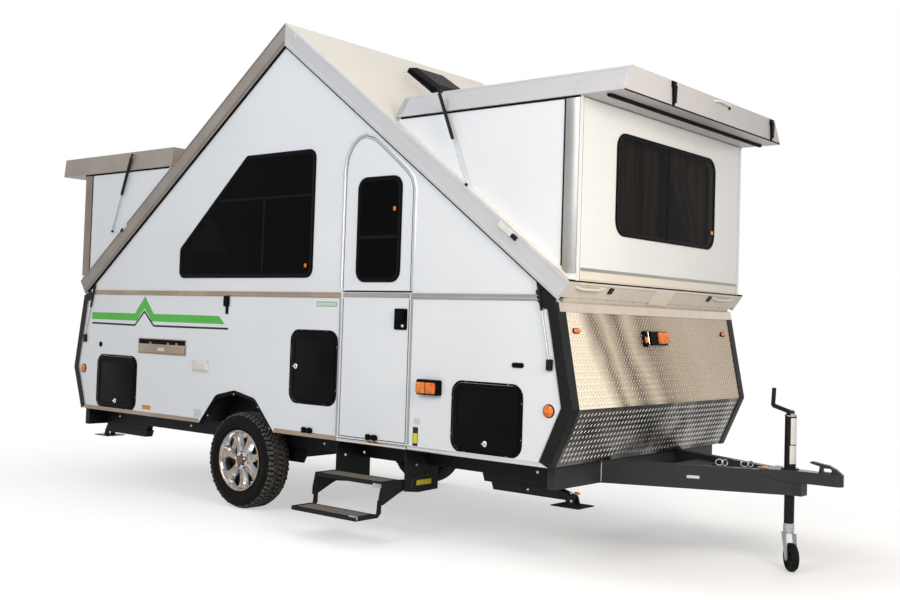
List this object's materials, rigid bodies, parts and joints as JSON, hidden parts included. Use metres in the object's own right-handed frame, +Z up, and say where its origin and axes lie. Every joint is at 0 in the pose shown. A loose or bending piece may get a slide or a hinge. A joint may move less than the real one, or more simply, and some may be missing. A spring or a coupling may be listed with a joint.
{
  "type": "folding camper trailer",
  "caption": "A-frame folding camper trailer, raised, with hard dormers front and rear, a split door, entry step, luggage hatches, alloy wheels, tongue and swivel jack.",
  "frame": {"origin": "centre of the bounding box at ground level, under the wheels", "axes": "+X towards the tongue, +Y to the far (driver) side away from the entry door, +Z up"},
  "size_m": [5.961, 2.452, 3.2379],
  "materials": {
    "white_gelcoat": "glossy white composite skin",
    "tread_plate": "bright embossed tread plate",
    "black_frame_paint": "satin black powder coat",
    "black_plastic": "black moulded plastic",
    "tinted_glass": "dark tinted acrylic",
    "alloy": "machined cast alloy",
    "tyre_rubber": "black rubber",
    "zinc": "zinc plated",
    "dark_floor": "black underbody membrane over a composite floor"
  },
  "bodies": {
    "trailer": {"axle": "black_frame_paint", "coupler": "black_frame_paint", "crossmember_axle": "black_frame_paint", "crossmember_front": "black_frame_paint", "crossmember_mid": "black_frame_paint", "crossmember_rear": "black_frame_paint", "dormer_front_side_left": "white_gelcoat", "dormer_front_side_right": "white_gelcoat", "dormer_lid_front": "white_gelcoat", "dormer_lid_rear": "white_gelcoat", "dormer_rear_side_left": "white_gelcoat", "dormer_rear_side_right": "white_gelcoat", "floor": "dark_floor", "jack_tube": "black_frame_paint", "main_rail_left": "black_frame_paint", "main_rail_right": "black_frame_paint", "nose": "tread_plate", "roof_front": "white_gelcoat", "roof_rear": "white_gelcoat", "roof_vent": "black_plastic", "stabiliser_front_left": "black_frame_paint", "stabiliser_front_right": "black_frame_paint", "stabiliser_rear_left": "black_frame_paint", "stabiliser_rear_right": "black_frame_paint", "step_housing": "black_frame_paint", "tail": "white_gelcoat", "tongue_deck": "black_frame_paint", "tongue_rail_left": "black_frame_paint", "tongue_rail_right": "black_frame_paint", "wall_left": "white_gelcoat", "wall_right_front": "white_gelcoat", "wall_right_rear": "white_gelcoat"},
    "gable_right": {"gable_right": "white_gelcoat", "gable_window_right": "tinted_glass"},
    "gable_left": {"gable_left": "white_gelcoat", "gable_window_left": "tinted_glass"},
    "door_upper": {"door_upper": "white_gelcoat", "door_window": "tinted_glass"},
    "door_lower": {"door_lower": "white_gelcoat"},
    "dormer_front_wall": {"dormer_front_wall": "white_gelcoat", "dormer_front_window": "tinted_glass"},
    "dormer_rear_wall": {"dormer_rear_wall": "white_gelcoat", "dormer_rear_window": "tinted_glass"},
    "hatch_rear": {"hatch_rear": "black_plastic"},
    "hatch_mid": {"hatch_mid": "black_plastic"},
    "hatch_front": {"hatch_front": "black_plastic"},
    "step_upper": {"step_upper": "black_frame_paint"},
    "step_lower": {"step_lower": "black_frame_paint"},
    "jack_leg": {"jack_leg": "black_frame_paint"},
    "jack_fork": {"jack_fork": "zinc"},
    "jack_wheel": {"jack_wheel": "tyre_rubber"},
    "roof_vent_lid": {"roof_vent_lid": "black_plastic"},
    "wheel_right": {"wheel_right": "alloy", "tyre_right": "tyre_rubber"},
    "wheel_left": {"wheel_left": "alloy", "tyre_left": "tyre_rubber"}
  },
  "joints": [
    {"name": "gable_right", "type": "hinge", "parent": "trailer", "child": "gable_right", "pos_m": [-0.3885, -0.825, 1.468], "axis": [-1, 0, 0], "range_deg": [0, 90]},
    {"name": "gable_left", "type": "hinge", "parent": "trailer", "child": "gable_left", "pos_m": [-0.3885, 1.173, 1.513], "axis": [1, 0, 0], "range_deg": [0, 90]},
    {"name": "door_upper", "type": "hinge", "parent": "gable_right", "child": "door_upper", "pos_m": [0.2095, -0.86, 1.473], "axis": [0, 0, 1], "range_deg": [-110, 0]},
    {"name": "door_lower", "type": "hinge", "parent": "trailer", "child": "door_lower", "pos_m": [0.2095, -0.86, 0.565], "axis": [0, 0, 1], "range_deg": [-110, 0]},
    {"name": "dormer_front_wall", "type": "hinge", "parent": "trailer", "child": "dormer_front_wall", "pos_m": [1.8695, 0.174, 1.58992], "axis": [0, -1, 0], "range_deg": [0, 53]},
    {"name": "dormer_rear_wall", "type": "hinge", "parent": "trailer", "child": "dormer_rear_wall", "pos_m": [-2.6465, 0.174, 1.58992], "axis": [0, 1, 0], "range_deg": [0, 53]},
    {"name": "hatch_rear", "type": "hinge", "parent": "trailer", "child": "hatch_rear", "pos_m": [-2.1655, -0.86, 0.958], "axis": [1, 0, 0], "range_deg": [-110, 0]},
    {"name": "hatch_mid", "type": "hinge", "parent": "trailer", "child": "hatch_mid", "pos_m": [0.1765, -0.86, 0.984], "axis": [0, 0, 1], "range_deg": [0, 110]},
    {"name": "hatch_front", "type": "hinge", "parent": "trailer", "child": "hatch_front", "pos_m": [1.366, -0.86, 0.958], "axis": [1, 0, 0], "range_deg": [-110, 0]},
    {"name": "step_upper", "type": "hinge", "parent": "trailer", "child": "step_upper", "pos_m": [0.482, -0.826, 0.325], "axis": [1, 0, 0], "range_deg": [0, 180]},
    {"name": "step_lower", "type": "hinge", "parent": "step_upper", "child": "step_lower", "pos_m": [0.482, -1.031, 0.248], "axis": [1, 0, 0], "range_deg": [0, 180]},
    {"name": "jack_leg", "type": "slide", "parent": "trailer", "child": "jack_leg", "axis": [0, 0, 1], "range_m": [-0.125, 0.15]},
    {"name": "jack_fork", "type": "hinge", "parent": "jack_leg", "child": "jack_fork", "pos_m": [2.6845, 0.174, 0.255], "axis": [0, 0, 1], "continuous": true},
    {"name": "jack_wheel", "type": "hinge", "parent": "jack_fork", "child": "jack_wheel", "pos_m": [2.71388, 0.1426, 0.077], "axis": [0.7302, 0.6833, 0], "continuous": true},
    {"name": "roof_vent_lid", "type": "hinge", "parent": "trailer", "child": "roof_vent_lid", "pos_m": [-0.10135, 0.194, 3.0516], "axis": [0, 1, 0], "range_deg": [-60, 2.5]},
    {"name": "wheel_right", "type": "hinge", "parent": "trailer", "child": "wheel_right", "pos_m": [-0.7355, -0.746, 0.322], "axis": [0, 1, 0], "continuous": true},
    {"name": "wheel_left", "type": "hinge", "parent": "trailer", "child": "wheel_left", "pos_m": [-0.7355, 1.094, 0.322], "axis": [0, 1, 0], "continuous": true}
  ],
  "couplings": [
    {"joint": "step_lower", "follows": "step_upper", "ratio": 1}
  ]
}
